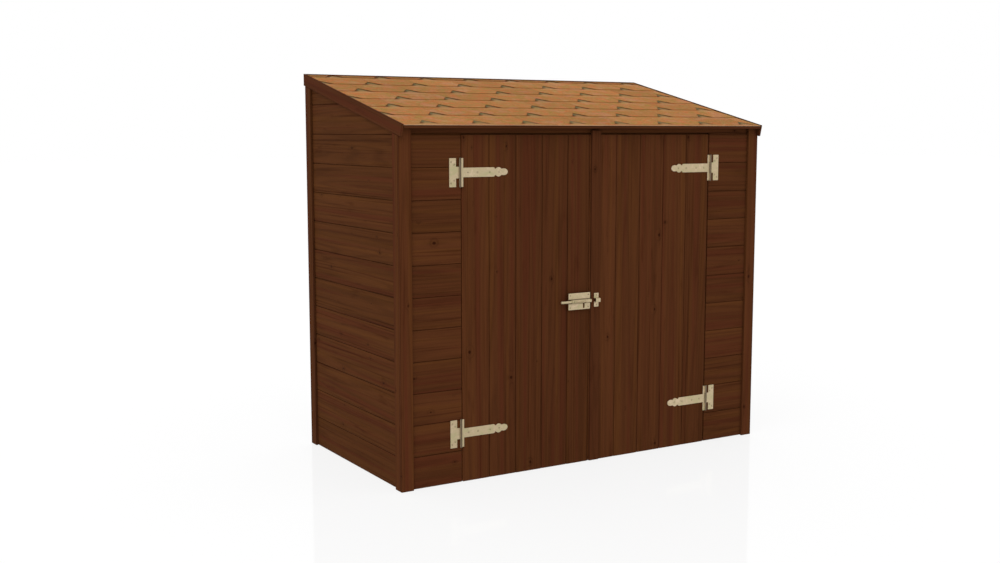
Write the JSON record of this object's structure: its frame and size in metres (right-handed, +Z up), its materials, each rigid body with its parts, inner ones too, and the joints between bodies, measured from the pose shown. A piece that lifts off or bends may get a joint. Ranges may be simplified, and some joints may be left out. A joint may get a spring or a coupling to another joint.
{
  "type": "garden bike store",
  "caption": "Closed timber bike store with a pent shingle roof, a pair of ledged and braced doors on T hinges, and a sliding barrel bolt.",
  "frame": {"origin": "on the ground, under the middle of the whole store", "axes": "+Z up, the doors face -Y, +X to the right as seen from the front"},
  "size_m": [2, 1.051, 1.823],
  "materials": {
    "stained_boards": "dark brown stain",
    "trim_timber": "dark brown stain",
    "frame_timber": "dipped brown stain",
    "roof_shingle": "mineral-coated bitumen",
    "zinc_hardware": "passivated zinc"
  },
  "bodies": {
    "shelter": {"left_wall": "stained_boards", "right_wall": "stained_boards", "back_wall": "stained_boards", "front_left_panel": "stained_boards", "front_right_panel": "stained_boards", "front_left_corner_trim": "trim_timber", "front_right_corner_trim": "trim_timber", "back_left_corner_trim": "trim_timber", "back_right_corner_trim": "trim_timber", "front_left_post": "frame_timber", "front_right_post": "frame_timber", "left_door_post": "frame_timber", "right_door_post": "frame_timber", "back_posts": "frame_timber", "bottom_rails": "frame_timber", "front_top_rail": "frame_timber", "back_top_rail": "frame_timber", "rafters": "frame_timber", "header_board": "trim_timber", "roof_deck": "frame_timber", "roof_shingles": "roof_shingle", "left_bargeboard": "trim_timber", "right_bargeboard": "trim_timber", "front_fascia": "trim_timber", "back_fascia": "trim_timber", "left_top_hinge_leaf": "zinc_hardware", "left_bottom_hinge_leaf": "zinc_hardware", "right_top_hinge_leaf": "zinc_hardware", "right_bottom_hinge_leaf": "zinc_hardware"},
    "left_door": {"left_door_boards": "stained_boards", "left_door_ledges": "frame_timber", "left_door_braces": "frame_timber", "left_top_hinge_strap": "zinc_hardware", "left_bottom_hinge_strap": "zinc_hardware", "bolt_packer": "trim_timber", "bolt_plate": "zinc_hardware"},
    "right_door": {"right_door_boards": "stained_boards", "right_door_ledges": "frame_timber", "right_door_braces": "frame_timber", "right_top_hinge_strap": "zinc_hardware", "right_bottom_hinge_strap": "zinc_hardware", "centre_batten": "trim_timber", "bolt_keeper": "zinc_hardware"},
    "bolt": {"bolt_rod": "zinc_hardware"}
  },
  "joints": [
    {"name": "left_door_hinge", "type": "hinge", "parent": "shelter", "child": "left_door", "pos_m": [-0.702, -0.4878, 0.8], "axis": [0, 0, -1], "range_deg": [0, 120]},
    {"name": "right_door_hinge", "type": "hinge", "parent": "shelter", "child": "right_door", "pos_m": [0.702, -0.4878, 0.8], "axis": [0, 0, 1], "range_deg": [0, 120]},
    {"name": "bolt_slide", "type": "slide", "parent": "left_door", "child": "bolt", "axis": [-1, 0, 0], "range_m": [-0.06, 0]}
  ]
}
